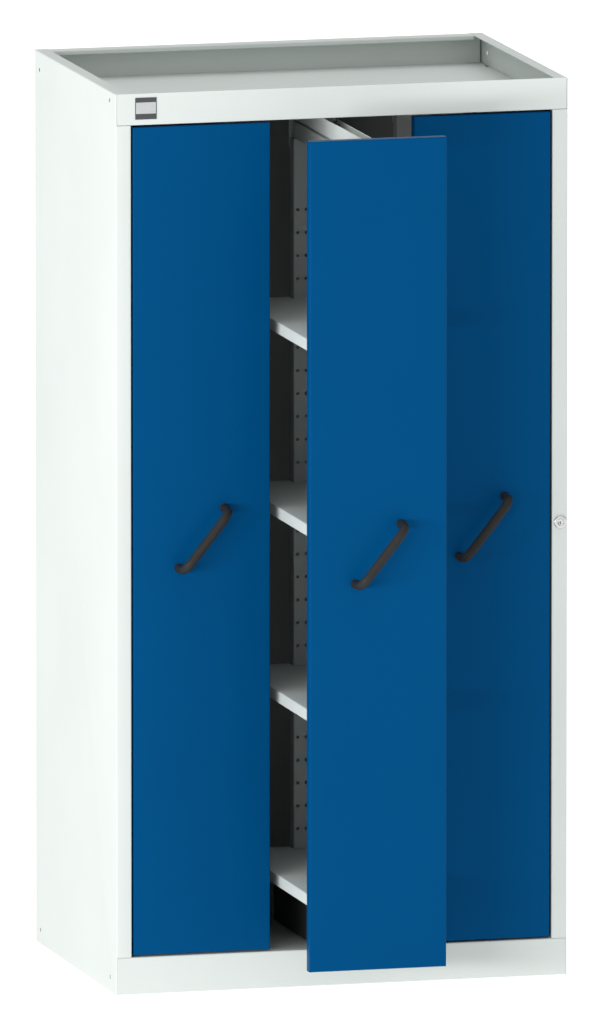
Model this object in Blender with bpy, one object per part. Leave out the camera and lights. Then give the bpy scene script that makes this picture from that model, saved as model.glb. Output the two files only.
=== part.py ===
"""Workshop cabinet with three vertical pull-out units side by side; the middle one is drawn out.

Every piece is a folded sheet, a profile or a turned part, modelled as its own closed solid.
Cabinet space: x runs across from the middle, y runs into the depth from the front plane, z is up from
the floor. The empty "cabinet" puts that space into the world so that the origin is at the bottom
centre of the whole object, and each pull-out unit has an empty of its own, on its slide.
Units are metres.
"""
import math

import bmesh
import bpy
from mathutils import Matrix, Vector

# ---------------------------------------------------------------- driving dimensions
WIDTH = 1.000
DEPTH = 0.700
HEIGHT = 1.950
SHEET = 0.002            # thickness of the folded sheets
GAP = 0.0003             # clearance between pieces that touch

STILE = 0.034            # width of the side panel's front return
JAMB = 0.020             # depth of the stile's inner return
REAR_RETURN = 0.030
PLINTH_TOP = 0.080       # upper edge of the bottom rail
RAIL_LOW = 1.882         # lower edge of the top rail
RAIL_RETURN = 0.028
TOP_FLANGE = 0.028       # side panels' inward flange round the tray
REAR_FLANGE = 0.036
REAR_LIP = 0.009
SIDE_HOLE_R = 0.0045
SIDE_HOLES = ((0.052, 1.931), (0.658, 1.911), (0.053, 0.031), (0.660, 0.030))

UNITS = ("left", "middle", "right")
DRAWN = {"left": 0.0, "middle": 0.300, "right": 0.0}
BAY = (WIDTH - 2 * STILE) / len(UNITS)

FRONT_WIDTH = 0.3024
FRONT_LOW = 0.0845
FRONT_HIGH = 1.8773
FRONT_FOLD = 0.027       # depth of the front's folded edge
FRONT_LIP = 0.014

HANDLE_Z = 0.984
HANDLE_SPAN = 0.162      # foot to foot
HANDLE_TILT = math.radians(51.4)
HANDLE_STANDOFF = 0.0485 # front plane to the bar's middle
HANDLE_BEND = 0.026
HANDLE_R = 0.009

POST_HALF = 0.0185
POST_DEPTH = 0.033
FRONT_POST_BACK = 0.0535
REAR_POST_FACE = 0.637

SHELF_TOPS = (1.441, 1.041, 0.641, 0.241)
SHELF_HALF = 0.136
SHELF_FOLD = 0.0245
SHELF_BACK = 0.672

UNIT_BACK = 0.668
CARRIAGE_HALF = 0.055
CARRIAGE_LOW = 0.084
CARRIAGE_TOP = 0.216
CARRIAGE_FRONT = 0.034

RUNNER_WALL = 0.0025
RUNNER_FRONT = 0.040
RUNNER_BACK = 0.660
FLOOR_RUNNER_HALF = 0.025
FLOOR_RUNNER_FOOT = 0.034
FLOOR_RUNNER_TOP = 0.150
MIDDLE_RUNNER_HALF = 0.038
MIDDLE_RUNNER_LOW = 0.0835
MIDDLE_RUNNER_TOP = 0.165

CHANNEL_HALF = 0.0125
CHANNEL_LOW = 1.8294
CHANNEL_TOP = 1.8656
BEAM_LOW = 1.7883
BEAM_TOP = 1.8234
BEAM_STRIP_HALF = 0.005

ROLLER_Y = 0.060
ROLLER_R = 0.0102
ROLLER_BORE_R = 0.0042
ROLLER_LOW = 1.842
ROLLER_TOP = 1.858
PIN_R = 0.004
PIN_LOW = 1.838
BRACKET_HALF = 0.020
BRACKET_THICK = 0.0033

LOCK_X = 0.484
LOCK_Z = 0.987
ROSETTE_R = 0.014
ROSETTE_OUT = 0.005
BARREL_R = 0.011
BARREL_BACK = 0.025
PLUG_R = 0.007
PLUG_OUT = 0.0045
CAM_ARM = 0.010          # lock axis to cam pin
CAM_THICK = 0.003
CAM_HALF = 0.0045
CAM_PIN_R = 0.003
ROD_LEFT = 0.464
ROD_RIGHT = 0.480
ROD_FRONT = 0.029
ROD_THICK = 0.003
ROD_TOP = 1.010
BAR_LOW = 0.048
BAR_TOP = 0.060
TAB_TOP = 0.0772
TAB_NEAR = 0.060         # tab and lug, measured from the middle of a unit
TAB_FAR = 0.075
LUG_TOP = 0.124

LABEL_SIZE = 0.047
LABEL_LEFT = 0.043       # from the cabinet's left side
LABEL_LOW = 1.8945
LABEL_THICK = 0.001

ROUND = 32               # facets of a turned part
HANDLE_REACH = HANDLE_STANDOFF + HANDLE_R
FRONT_Y = (max(DRAWN.values()) + HANDLE_REACH - DEPTH) / 2


# ---------------------------------------------------------------- scene and materials
def clear_scene():
    for obj in list(bpy.data.objects):
        bpy.data.objects.remove(obj, do_unlink=True)


def make_material(name, colour, roughness, metallic):
    material = bpy.data.materials.new(name)
    material.use_nodes = True
    shader = material.node_tree.nodes["Principled BSDF"]
    shader.inputs["Base Color"].default_value = (*colour, 1.0)
    shader.inputs["Roughness"].default_value = roughness
    shader.inputs["Metallic"].default_value = metallic
    material.diffuse_color = (*colour, 1.0)
    return material


def make_materials():
    return {
        "light_grey": make_material("light_grey_paint", (0.80, 0.83, 0.81), 0.45, 0.0),
        "blue": make_material("blue_paint", (0.008, 0.080, 0.245), 0.35, 0.0),
        "dark_grey": make_material("dark_grey_paint", (0.06, 0.065, 0.07), 0.5, 0.0),
        "zinc": make_material("zinc_plated_steel", (0.60, 0.61, 0.62), 0.35, 1.0),
        "chrome": make_material("polished_steel", (0.75, 0.75, 0.76), 0.2, 1.0),
        "black_plastic": make_material("black_plastic", (0.03, 0.03, 0.032), 0.5, 0.0),
        "label": make_material("label_plate", (0.12, 0.13, 0.13), 0.4, 0.0),
    }


def make_empty(name, location, parent=None):
    empty = bpy.data.objects.new(name, None)
    bpy.context.scene.collection.objects.link(empty)
    empty.location = location
    empty.parent = parent
    return empty


def place(name, mesh, material, parent, location=(0, 0, 0)):
    """Put a mesh into the scene as a named piece; pieces may share one mesh."""
    piece = bpy.data.objects.new(name, mesh)
    bpy.context.scene.collection.objects.link(piece)
    piece.parent = parent
    piece.location = location
    if not mesh.materials:
        mesh.materials.append(material)
    return piece


# ---------------------------------------------------------------- mesh tools
def finish_mesh(bm, name):
    bmesh.ops.recalc_face_normals(bm, faces=bm.faces)
    mesh = bpy.data.meshes.new(name)
    bm.to_mesh(mesh)
    bm.free()
    return mesh


def block(low, high):
    """A plain box between two corners."""
    bm = bmesh.new()
    size = [b - a for a, b in zip(low, high)]
    centre = [(a + b) / 2 for a, b in zip(low, high)]
    bmesh.ops.create_cube(bm, size=1.0)
    bmesh.ops.scale(bm, vec=size, verts=bm.verts)
    bmesh.ops.translate(bm, vec=centre, verts=bm.verts)
    return finish_mesh(bm, "block")


def to_space(point, along, axis):
    """A point of a section, given as (y, z), (x, z) or (x, y), at a place along the section's axis."""
    if axis == "x":
        return (along, point[0], point[1])
    if axis == "y":
        return (point[0], along, point[1])
    return (point[0], point[1], along)


def inner_line(path, thickness):
    """The path moved sideways by the sheet's thickness, with mitred corners."""
    points = [Vector(p) for p in path]
    moved = []
    for i, point in enumerate(points):
        runs = []
        if i > 0:
            runs.append((point - points[i - 1]).normalized())
        if i + 1 < len(points):
            runs.append((points[i + 1] - point).normalized())
        sides = [Vector((run.y, -run.x)) for run in runs]
        mitre = 1.0 + sides[0].dot(sides[1]) if len(sides) == 2 else 1.0
        moved.append(point + sum(sides, Vector((0, 0))) * thickness / mitre)
    return moved


def folded(path, axis, start, end, thickness=SHEET):
    """A folded sheet: the path is its outer line, with the sheet on the right of it."""
    inner = inner_line(path, thickness)
    bm = bmesh.new()
    ends = []
    for along in (start, end):
        outer_verts = [bm.verts.new(to_space(p, along, axis)) for p in path]
        inner_verts = [bm.verts.new(to_space(p, along, axis)) for p in inner]
        ends.append((outer_verts, inner_verts))
        for i in range(len(path) - 1):
            bm.faces.new((outer_verts[i], outer_verts[i + 1], inner_verts[i + 1], inner_verts[i]))
    for near, far in zip(*ends):
        for i in range(len(path) - 1):
            bm.faces.new((near[i], near[i + 1], far[i + 1], far[i]))
    for i in (0, -1):
        (near_out, near_in), (far_out, far_in) = ends
        bm.faces.new((near_out[i], near_in[i], far_in[i], far_out[i]))
    return finish_mesh(bm, "folded")


def extrude(outline, axis, start, end):
    """Extrude a closed outline along an axis."""
    bm = bmesh.new()
    near = [bm.verts.new(to_space(p, start, axis)) for p in outline]
    far = [bm.verts.new(to_space(p, end, axis)) for p in outline]
    bm.faces.new(near)
    bm.faces.new(far)
    for i in range(len(outline)):
        j = (i + 1) % len(outline)
        bm.faces.new((near[i], near[j], far[j], far[i]))
    return finish_mesh(bm, "extrusion")


def pan(rings, axis):
    """A closed skin over rectangles (low a, high a, low b, high b, along), capped at both ends."""
    bm = bmesh.new()
    loops = []
    for low_a, high_a, low_b, high_b, along in rings:
        corners = ((low_a, low_b), (high_a, low_b), (high_a, high_b), (low_a, high_b))
        if axis == "y":
            loops.append([bm.verts.new((a, along, b)) for a, b in corners])
        else:
            loops.append([bm.verts.new((a, b, along)) for a, b in corners])
    bm.faces.new(loops[0])
    bm.faces.new(loops[-1])
    for near, far in zip(loops, loops[1:]):
        for i in range(4):
            j = (i + 1) % 4
            bm.faces.new((near[i], near[j], far[j], far[i]))
    return finish_mesh(bm, "pan")


def turned(profile, centre, axis, facets=ROUND):
    """Turn a closed profile of (radius, along) points round an axis; a radius of 0 closes the end."""
    bm = bmesh.new()
    rings = []
    for radius, along in profile:
        count = facets if radius > 0 else 1
        ring = []
        for i in range(count):
            angle = 2 * math.pi * i / facets
            a, b = radius * math.cos(angle), radius * math.sin(angle)
            spot = {"x": (along, a, b), "y": (a, along, b), "z": (a, b, along)}[axis]
            ring.append(bm.verts.new(Vector(spot) + Vector(centre)))
        rings.append(ring)
    open_profile = profile[0][0] == 0
    pairs = list(zip(rings, rings[1:]))
    if not open_profile:
        pairs.append((rings[-1], rings[0]))
    for near, far in pairs:
        for i in range(facets):
            j = (i + 1) % facets
            if len(near) == 1:
                bm.faces.new((near[0], far[j], far[i]))
            elif len(far) == 1:
                bm.faces.new((near[i], near[j], far[0]))
            else:
                bm.faces.new((near[i], near[j], far[j], far[i]))
    mesh = finish_mesh(bm, "turned")
    mesh.shade_smooth()
    mesh.set_sharp_from_angle(angle=math.radians(35))
    return mesh


def rod(radius, start, end, centre, axis, facets=ROUND):
    """A plain round bar."""
    return turned(((0, start), (radius, start), (radius, end), (0, end)), centre, axis, facets)


def combine(mesh, tool, operation):
    """Cut one mesh with another, or join it to another, and return the result as a new mesh."""
    body = bpy.data.objects.new("body", mesh)
    cutter = bpy.data.objects.new("cutter", tool)
    for obj in (body, cutter):
        bpy.context.scene.collection.objects.link(obj)
    modifier = body.modifiers.new("combine", "BOOLEAN")
    modifier.solver = "EXACT"
    modifier.operation = operation
    modifier.object = cutter
    depsgraph = bpy.context.evaluated_depsgraph_get()
    result = bpy.data.meshes.new_from_object(body.evaluated_get(depsgraph))
    for obj in (body, cutter):
        bpy.data.objects.remove(obj, do_unlink=True)
    return result


def cut(mesh, *tools):
    for tool in tools:
        mesh = combine(mesh, tool, "DIFFERENCE")
    return mesh


def join(mesh, *tools):
    for tool in tools:
        mesh = combine(mesh, tool, "UNION")
    return mesh


def mirrored(mesh):
    """The same piece for the other side of the cabinet."""
    bm = bmesh.new()
    bm.from_mesh(mesh)
    bmesh.ops.transform(bm, matrix=Matrix.Scale(-1, 4, (1, 0, 0)), verts=bm.verts)
    return finish_mesh(bm, "mirrored")


# ---------------------------------------------------------------- carcass
INNER = WIDTH / 2 - SHEET - GAP      # half width between the side sheets
REAR_INNER = INNER - SHEET - GAP     # the rear rails stay clear of the floor panel's side folds
REAR_WALL = DEPTH - SHEET - GAP      # outer face of what sits inside the rear returns
TRAY_TOP = RAIL_LOW + SHEET + GAP + SHEET
TRAY_FOLD_END = 0.620
FLOOR_TOP = PLINTH_TOP - GAP


def side_panel_mesh():
    """Left side: outer sheet, front stile with its jamb, rear return and the tray's top flange."""
    side = -WIDTH / 2
    path = ((side + STILE, JAMB), (side + STILE, 0), (side, 0), (side, DEPTH), (side + REAR_RETURN, DEPTH))
    mesh = folded(path, "z", 0, HEIGHT)
    inside = side + SHEET
    beyond = side + 2 * STILE
    margin = 0.01
    mesh = cut(
        mesh,
        block((inside, -margin, -margin), (beyond, DEPTH + margin, PLINTH_TOP + GAP)),
        block((inside, -margin, RAIL_LOW - GAP), (beyond, DEPTH / 2, HEIGHT + margin)))
    flange = block((side + SHEET / 2, SHEET + GAP, HEIGHT - SHEET),
                   (side + TOP_FLANGE, DEPTH - SHEET / 2, HEIGHT))
    mesh = join(mesh, flange)
    for y, z in SIDE_HOLES:
        mesh = cut(mesh, rod(SIDE_HOLE_R, side - margin, side + margin, (0, y, z), "x", ROUND // 2))
    return mesh


def lock_hole():
    margin = 0.01
    return rod(BARREL_R + GAP, -margin, margin, (LOCK_X, 0, LOCK_Z), "y")


def top_front_rail_mesh():
    path = ((RAIL_RETURN, RAIL_LOW), (0, RAIL_LOW), (0, HEIGHT))
    return folded(path, "x", -INNER, INNER)


def bottom_front_rail_mesh():
    path = ((RAIL_RETURN, 0), (0, 0), (0, PLINTH_TOP), (RAIL_RETURN, PLINTH_TOP))
    return folded(path, "x", -INNER, INNER)


def rear_top_rail_mesh():
    """Rear wall of the tray, inside the side panels' rear returns, with its flange between theirs."""
    margin = 0.01
    path = ((DEPTH - REAR_FLANGE, HEIGHT - REAR_LIP), (DEPTH - REAR_FLANGE, HEIGHT), (REAR_WALL, HEIGHT),
            (REAR_WALL, RAIL_LOW), (REAR_WALL - RAIL_RETURN, RAIL_LOW))
    mesh = folded(path, "x", -REAR_INNER, REAR_INNER)
    flange_end = WIDTH / 2 - TOP_FLANGE - GAP
    for side in (-1, 1):
        near, far = sorted((side * flange_end, side * WIDTH / 2))
        mesh = cut(
            mesh,
            block((near, DEPTH - REAR_FLANGE - margin, HEIGHT - REAR_LIP - margin),
                  (far, REAR_WALL - SHEET, HEIGHT + margin)),
            block((near, DEPTH - REAR_FLANGE, HEIGHT - SHEET - GAP), (far, DEPTH + margin, HEIGHT + margin)))
    return mesh


def rear_bottom_rail_mesh():
    top = FLOOR_TOP - SHEET - GAP
    path = ((DEPTH - RAIL_RETURN, top), (DEPTH, top), (DEPTH, 0), (DEPTH - RAIL_RETURN, 0))
    return folded(path, "x", -REAR_INNER, REAR_INNER)


def top_panel_mesh():
    """Floor of the tray, turned down at both sides between the rails' returns."""
    fold = 0.0055
    low = TRAY_TOP - fold
    back = REAR_WALL - SHEET - GAP
    path = ((-INNER, low), (-INNER, TRAY_TOP), (INNER, TRAY_TOP), (INNER, low))
    mesh = folded(path, "y", SHEET + GAP, back)
    under = TRAY_TOP - SHEET
    return cut(
        mesh,
        block((-WIDTH, 0, low - fold), (WIDTH, RAIL_RETURN + GAP, under)),
        block((-WIDTH, TRAY_FOLD_END, low - fold), (WIDTH, DEPTH, under)))


def floor_panel_mesh():
    """Floor of the cabinet, turned down at both sides, notched in front for the lock rod and tabs."""
    fold = 0.020
    path = ((-INNER, FLOOR_TOP - fold), (-INNER, FLOOR_TOP), (INNER, FLOOR_TOP), (INNER, FLOOR_TOP - fold))
    front = RAIL_RETURN + GAP
    mesh = folded(path, "y", front, REAR_WALL)
    room = 0.0015
    spans = [(ROD_LEFT, ROD_RIGHT)]
    spans += [(unit_x(unit) + TAB_NEAR, unit_x(unit) + TAB_FAR) for unit in UNITS]
    for left, right in spans:
        mesh = cut(mesh, block((left - room, front - room, FLOOR_TOP - 2 * SHEET),
                               (right + room, ROD_FRONT + ROD_THICK + room, FLOOR_TOP + SHEET)))
    return mesh


def back_panel_mesh():
    return block((-INNER, REAR_WALL - SHEET, PLINTH_TOP), (INNER, REAR_WALL, RAIL_LOW - GAP))


def label_mesh():
    left = -WIDTH / 2 + LABEL_LEFT
    return block((left, -GAP - LABEL_THICK, LABEL_LOW),
                 (left + LABEL_SIZE, -GAP, LABEL_LOW + LABEL_SIZE))


def build_carcass(cabinet, paint, label):
    left_side = side_panel_mesh()
    place("left_side_panel", left_side, paint, cabinet)
    place("right_side_panel", cut(mirrored(left_side), lock_hole()), paint, cabinet)
    place("top_front_rail", top_front_rail_mesh(), paint, cabinet)
    place("bottom_front_rail", bottom_front_rail_mesh(), paint, cabinet)
    place("rear_top_rail", rear_top_rail_mesh(), paint, cabinet)
    place("rear_bottom_rail", rear_bottom_rail_mesh(), paint, cabinet)
    place("top_panel", top_panel_mesh(), paint, cabinet)
    place("floor_panel", floor_panel_mesh(), paint, cabinet)
    place("back_panel", back_panel_mesh(), paint, cabinet)
    place("label_plate", label_mesh(), label, cabinet)


# ---------------------------------------------------------------- pull-out unit
def unit_x(unit):
    """Middle of a unit's bay, in cabinet space."""
    return (UNITS.index(unit) - (len(UNITS) - 1) / 2) * BAY


def front_panel_mesh():
    """A pan folded from one sheet: skin, four edges and the lips behind them."""
    def ring(inset, along):
        half = FRONT_WIDTH / 2 - inset
        return (-half, half, FRONT_LOW + inset, FRONT_HIGH - inset, along)

    back = FRONT_FOLD - SHEET
    rings = (ring(0, 0), ring(0, FRONT_FOLD), ring(FRONT_LIP, FRONT_FOLD),
             ring(FRONT_LIP, back), ring(SHEET, back), ring(SHEET, SHEET))
    return pan(rings, "y")


def handle_path():
    """Out from one foot, round a bend, along the bar and back to the other foot."""
    steps = 5
    reach = HANDLE_STANDOFF - HANDLE_BEND
    corner = HANDLE_SPAN / 2 - HANDLE_BEND
    points = [(HANDLE_SPAN / 2, GAP)]
    for i in range(steps + 1):
        angle = math.pi / 2 * i / steps
        points.append((corner + HANDLE_BEND * math.cos(angle), reach + HANDLE_BEND * math.sin(angle)))
    half = points + [(-along, out) for along, out in reversed(points)]
    cos, sin = math.cos(HANDLE_TILT), math.sin(HANDLE_TILT)
    return [(along * cos, -out, HANDLE_Z + along * sin) for along, out in half]


def handle_curve():
    curve = bpy.data.curves.new("handle", "CURVE")
    curve.dimensions = "3D"
    curve.bevel_depth = HANDLE_R
    curve.bevel_resolution = 2
    curve.use_fill_caps = True
    path = handle_path()
    spline = curve.splines.new("POLY")
    spline.points.add(len(path) - 1)
    for point, spot in zip(spline.points, path):
        point.co = (*spot, 1.0)
    spline.use_smooth = True
    return curve


def front_post_mesh():
    """Channel behind the front's skin, open to the rear."""
    face = SHEET + GAP
    path = ((-POST_HALF, FRONT_POST_BACK), (-POST_HALF, face),
            (POST_HALF, face), (POST_HALF, FRONT_POST_BACK))
    return folded(path, "z", CARRIAGE_TOP + GAP, BEAM_LOW - GAP, -SHEET)


def rear_post_mesh():
    back = REAR_POST_FACE + POST_DEPTH
    path = ((-POST_HALF, back), (-POST_HALF, REAR_POST_FACE), (POST_HALF, REAR_POST_FACE), (POST_HALF, back))
    return folded(path, "z", CARRIAGE_TOP + GAP, BEAM_LOW - GAP, -SHEET)


def shelf_mesh():
    """A tray turned upside down, with its top at 0 and a notch for the rear post."""
    front = FRONT_POST_BACK + GAP
    outer = (-SHELF_HALF, SHELF_HALF, front, SHELF_BACK)
    inner = (-SHELF_HALF + SHEET, SHELF_HALF - SHEET, front + SHEET, SHELF_BACK - SHEET)
    mesh = pan(((*outer, 0), (*outer, -SHELF_FOLD), (*inner, -SHELF_FOLD), (*inner, -SHEET)), "z")
    room = POST_HALF + 2 * GAP
    notch = block((-room, REAR_POST_FACE - GAP, -2 * SHELF_FOLD), (room, SHELF_BACK + SHELF_FOLD, SHELF_FOLD))
    return cut(mesh, notch)


def carriage_mesh():
    """Cover profile over the runner, open below, with the lug that the lock's tab catches."""
    path = ((-CARRIAGE_HALF, CARRIAGE_LOW), (-CARRIAGE_HALF, CARRIAGE_TOP),
            (CARRIAGE_HALF, CARRIAGE_TOP), (CARRIAGE_HALF, CARRIAGE_LOW))
    mesh = folded(path, "y", CARRIAGE_FRONT, UNIT_BACK)
    lug_overlap = SHEET / 2
    lug_thick = 0.003
    lug_low = CARRIAGE_LOW + SHEET
    lug = block((CARRIAGE_HALF - lug_overlap, CARRIAGE_FRONT + GAP, lug_low),
                (TAB_FAR, CARRIAGE_FRONT + GAP + lug_thick, LUG_TOP))
    return join(mesh, lug)


def beam_mesh():
    """Profile open below, with a narrow strip on top that carries the guide channel."""
    inner = CHANNEL_HALF - SHEET
    strip_top = CHANNEL_LOW - GAP
    half = ((CHANNEL_HALF, BEAM_LOW), (inner, BEAM_LOW), (inner, BEAM_TOP - SHEET))
    outer = ((BEAM_STRIP_HALF, strip_top), (BEAM_STRIP_HALF, BEAM_TOP), (CHANNEL_HALF, BEAM_TOP))
    right = outer + half
    left = tuple((-x, z) for x, z in reversed(right))
    return extrude(left + right, "y", FRONT_FOLD + 2 * GAP, UNIT_BACK)


def channel_mesh():
    path = ((CHANNEL_HALF, CHANNEL_TOP), (CHANNEL_HALF, CHANNEL_LOW),
            (-CHANNEL_HALF, CHANNEL_LOW), (-CHANNEL_HALF, CHANNEL_TOP))
    return folded(path, "y", FRONT_FOLD + 2 * GAP, UNIT_BACK)


def floor_runner_mesh():
    low = FLOOR_TOP + GAP
    path = ((-FLOOR_RUNNER_FOOT, low + RUNNER_WALL), (-FLOOR_RUNNER_HALF, low + RUNNER_WALL),
            (-FLOOR_RUNNER_HALF, FLOOR_RUNNER_TOP), (FLOOR_RUNNER_HALF, FLOOR_RUNNER_TOP),
            (FLOOR_RUNNER_HALF, low + RUNNER_WALL), (FLOOR_RUNNER_FOOT, low + RUNNER_WALL))
    return folded(path, "y", RUNNER_FRONT, RUNNER_BACK, RUNNER_WALL)


def middle_runner_mesh():
    path = ((-MIDDLE_RUNNER_HALF, MIDDLE_RUNNER_LOW), (-MIDDLE_RUNNER_HALF, MIDDLE_RUNNER_TOP),
            (MIDDLE_RUNNER_HALF, MIDDLE_RUNNER_TOP), (MIDDLE_RUNNER_HALF, MIDDLE_RUNNER_LOW))
    return folded(path, "y", RUNNER_FRONT, RUNNER_BACK, RUNNER_WALL)


def guide_bracket_mesh():
    """Plate under the top panel with the pin that the guide roller turns on."""
    top = RAIL_LOW + SHEET
    low = top - BRACKET_THICK
    plate = block((-BRACKET_HALF, ROLLER_Y - BRACKET_HALF, low), (BRACKET_HALF, ROLLER_Y + BRACKET_HALF, top))
    overlap = BRACKET_THICK / 2
    return join(plate, rod(PIN_R, PIN_LOW, low + overlap, (0, ROLLER_Y, 0), "z"))


def guide_roller_mesh():
    profile = ((ROLLER_BORE_R, ROLLER_LOW), (ROLLER_R, ROLLER_LOW),
               (ROLLER_R, ROLLER_TOP), (ROLLER_BORE_R, ROLLER_TOP))
    return turned(profile, (0, 0, 0), "z")


def build_units(cabinet, materials):
    """Three alike units; what slides is parented to the unit's own empty on its slide."""
    paint, zinc, plastic = materials["light_grey"], materials["zinc"], materials["black_plastic"]
    moving = (
        ("front_panel", front_panel_mesh(), materials["blue"]),
        ("handle", handle_curve(), plastic),
        ("front_post", front_post_mesh(), paint),
        ("rear_post", rear_post_mesh(), paint),
        ("upper_beam", beam_mesh(), paint),
        ("guide_channel", channel_mesh(), paint),
        ("lower_carriage", carriage_mesh(), materials["dark_grey"]),
    )
    shelf = shelf_mesh()
    floor_runner, middle_runner = floor_runner_mesh(), middle_runner_mesh()
    bracket, roller = guide_bracket_mesh(), guide_roller_mesh()
    for unit in UNITS:
        x = unit_x(unit)
        slide = make_empty(f"slide_{unit}", (x, -DRAWN[unit], 0), cabinet)
        half_slide = make_empty(f"half_slide_{unit}", (x, -DRAWN[unit] / 2, 0), cabinet)
        for name, mesh, material in moving:
            place(f"{name}_{unit}", mesh, material, slide)
        for number, top in enumerate(SHELF_TOPS, start=1):
            place(f"shelf_{number}_{unit}", shelf, paint, slide, (0, 0, top))
        place(f"middle_runner_{unit}", middle_runner, zinc, half_slide)
        place(f"floor_runner_{unit}", floor_runner, zinc, cabinet, (x, 0, 0))
        place(f"guide_bracket_{unit}", bracket, zinc, cabinet, (x, 0, 0))
        place(f"guide_roller_{unit}", roller, plastic, cabinet, (x, ROLLER_Y, 0))


# ---------------------------------------------------------------- central lock
def lock_housing_mesh():
    bore = PLUG_R + GAP
    profile = ((bore, -ROSETTE_OUT), (ROSETTE_R, -ROSETTE_OUT), (ROSETTE_R, -GAP),
               (BARREL_R, -GAP), (BARREL_R, BARREL_BACK), (bore, BARREL_BACK))
    return turned(profile, (LOCK_X, 0, LOCK_Z), "y")


def lock_plug_mesh():
    """Plug with its cam behind the barrel; the cam's pin sits in the lock rod's slot.

    Modelled round the plug's own axis, with the cam pointing down and inwards, which is unlocked.
    """
    cam_front = BARREL_BACK + GAP
    overlap = CAM_THICK / 2
    pin_end = ROD_FRONT + ROD_THICK + GAP
    diagonal = math.radians(225)
    tip = (CAM_ARM * math.cos(diagonal), CAM_ARM * math.sin(diagonal))
    outline = []
    steps = 8
    for centre, turn in ((tip, diagonal - math.pi / 2), ((0, 0), diagonal + math.pi / 2)):
        for i in range(steps + 1):
            angle = turn + math.pi * i / steps
            outline.append((centre[0] + CAM_HALF * math.cos(angle), centre[1] + CAM_HALF * math.sin(angle)))
    cam = extrude(outline, "y", cam_front, cam_front + CAM_THICK)
    plug = rod(PLUG_R, -PLUG_OUT, cam_front + overlap, (0, 0, 0), "y")
    pin = rod(CAM_PIN_R, cam_front + overlap, pin_end, (tip[0], 0, tip[1]), "y", ROUND // 2)
    return join(plug, join(cam, pin))


def lock_rod_mesh():
    """Flat bar in the right stile, with the slot for the cam's pin."""
    pin_z = LOCK_Z - CAM_ARM * math.sin(math.radians(45))
    room = 0.0006
    back = ROD_FRONT + ROD_THICK
    bar = block((ROD_LEFT, ROD_FRONT, BAR_TOP + GAP), (ROD_RIGHT, back, ROD_TOP))
    slot_left = LOCK_X - CAM_ARM - CAM_PIN_R - room
    slot_half = CAM_PIN_R + room
    slot = block((slot_left, ROD_FRONT - SHEET, pin_z - slot_half),
                 (ROD_RIGHT + SHEET, back + SHEET, pin_z + slot_half))
    return cut(bar, slot)


def lock_bar_mesh():
    """Bar below the floor, with one tab for each unit."""
    outline = [(ROD_RIGHT, BAR_LOW), (ROD_RIGHT, BAR_TOP)]
    for unit in reversed(UNITS):
        near, far = unit_x(unit) + TAB_NEAR, unit_x(unit) + TAB_FAR
        outline += [(far, BAR_TOP), (far, TAB_TOP), (near, TAB_TOP)]
        if unit != UNITS[0]:
            outline.append((near, BAR_TOP))
    outline.append((unit_x(UNITS[0]) + TAB_NEAR, BAR_LOW))
    return extrude(outline, "y", ROD_FRONT, ROD_FRONT + ROD_THICK)


def build_lock(cabinet, materials):
    place("lock_housing", lock_housing_mesh(), materials["chrome"], cabinet)
    place("lock_plug", lock_plug_mesh(), materials["chrome"], cabinet, (LOCK_X, 0, LOCK_Z))
    place("lock_rod", lock_rod_mesh(), materials["zinc"], cabinet)
    place("lock_bar", lock_bar_mesh(), materials["zinc"], cabinet)


def main():
    clear_scene()
    materials = make_materials()
    cabinet = make_empty("cabinet", (0, FRONT_Y, 0))
    build_carcass(cabinet, materials["light_grey"], materials["label"])
    build_units(cabinet, materials)
    build_lock(cabinet, materials)


main()
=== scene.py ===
"""Looks of the workshop cabinet: bent sheet steel with its finishes, the camera and the light.

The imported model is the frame, and every new piece takes its place from it. Meshes of the pull-out
units are made in unit space: x from the unit's middle, y into the depth from the front's skin and
z up from the floor. Carcass meshes are in cabinet space: the same, with x from the cabinet's
middle and y from the plane of the closed fronts. Units are metres.
"""
import math

import bmesh
import bpy
from mathutils import Matrix, Vector

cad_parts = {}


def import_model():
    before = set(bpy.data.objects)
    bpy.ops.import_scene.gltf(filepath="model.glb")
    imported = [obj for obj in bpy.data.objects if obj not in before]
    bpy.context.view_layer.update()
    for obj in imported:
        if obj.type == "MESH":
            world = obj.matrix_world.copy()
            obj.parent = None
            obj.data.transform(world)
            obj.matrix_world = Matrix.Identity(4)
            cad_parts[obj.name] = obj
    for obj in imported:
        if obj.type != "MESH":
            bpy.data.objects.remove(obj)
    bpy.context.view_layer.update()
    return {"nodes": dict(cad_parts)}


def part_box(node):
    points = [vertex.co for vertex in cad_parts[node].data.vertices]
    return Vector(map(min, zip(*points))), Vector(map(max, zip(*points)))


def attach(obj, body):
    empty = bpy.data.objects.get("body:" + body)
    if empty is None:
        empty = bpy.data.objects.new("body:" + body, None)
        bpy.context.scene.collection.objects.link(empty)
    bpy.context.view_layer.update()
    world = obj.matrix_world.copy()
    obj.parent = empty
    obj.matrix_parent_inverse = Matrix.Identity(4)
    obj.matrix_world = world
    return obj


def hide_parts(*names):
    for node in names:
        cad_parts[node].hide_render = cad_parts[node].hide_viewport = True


# ---------------------------------------------------------------- sizes
SHEET = 0.002             # sheet steel
GAP = 0.0003              # clearance between pieces
SEAM = 0.0006             # extra room in a seam that shows
BEND = 0.003              # outer radius of a bend
BEND_STEPS = 5
EDGE = 0.0004             # rounding of cut edges on pieces that keep their frame mesh
SMOOTH_ANGLE = math.radians(32)
FACING = 0.9              # a face looks one way if its normal's share of that way is above this

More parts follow.
